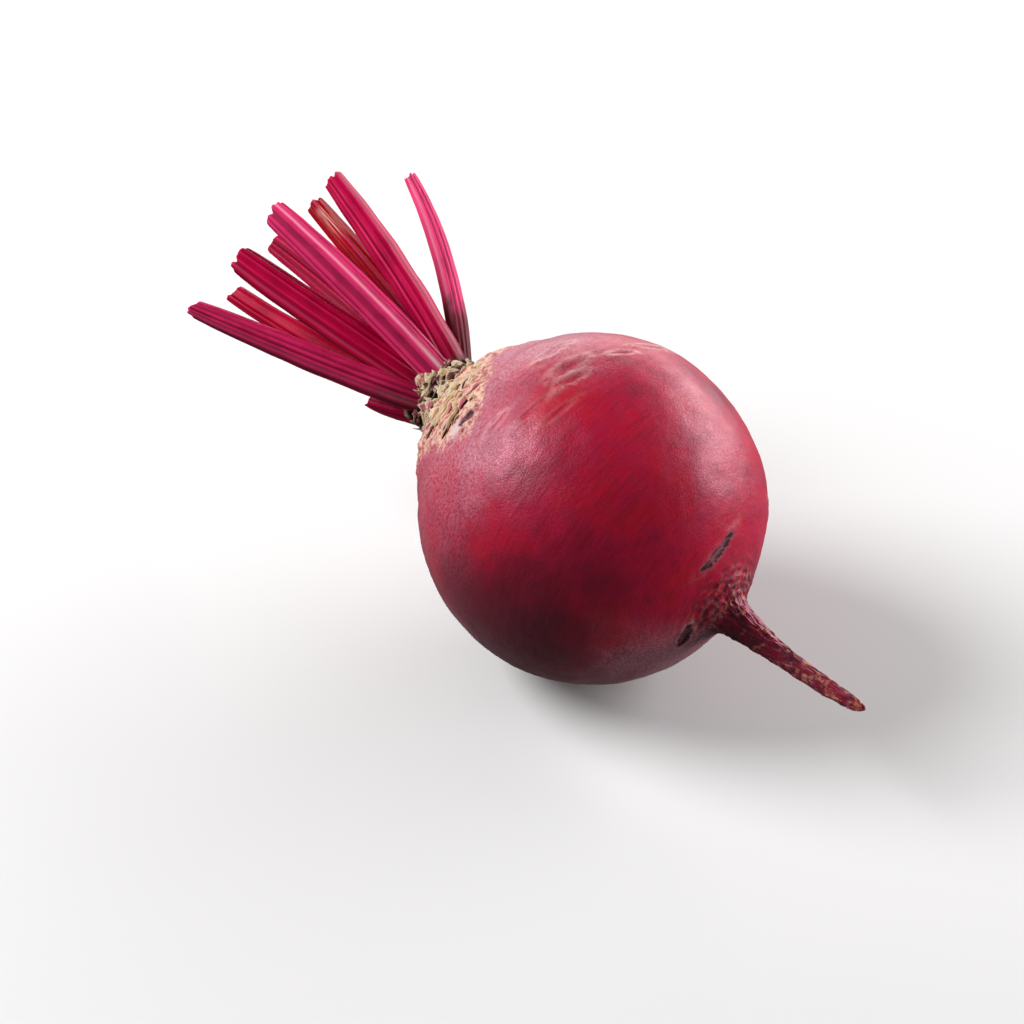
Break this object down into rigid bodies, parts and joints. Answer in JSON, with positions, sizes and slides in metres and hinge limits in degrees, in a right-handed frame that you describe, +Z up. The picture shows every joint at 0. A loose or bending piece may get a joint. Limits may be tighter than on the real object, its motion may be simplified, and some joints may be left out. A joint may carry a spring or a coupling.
{
  "type": "beetroot",
  "caption": "Whole fresh beetroot lying on its side: round dark-red root, corky crown, fan of trimmed ribbed leaf stalks and a tapering taproot.",
  "frame": {"origin": "centre of the small flat spot on the globe's underside that the beetroot rests on", "axes": "+Z up; +X towards the taproot's tip, -X towards the cut leaf stalks; -Y towards the front of the stalk rosette"},
  "size_m": [0.1814, 0.0746, 0.0804],
  "materials": {
    "skin": "satin",
    "cork": "matte",
    "stalk": "satin"
  },
  "bodies": {
    "root": {"root": "skin", "crown": "cork", "stalk_front": "stalk", "stalk_upper": "stalk", "stalk_top": "stalk", "stalk_rear": "stalk", "stalk_rear_lower": "stalk", "stalk_lower": "stalk", "stalk_stub": "stalk", "stalk_front_upper": "stalk", "stalk_front_inner": "stalk", "stalk_top_inner": "stalk", "stalk_heart": "stalk"}
  },
  "joints": []
}
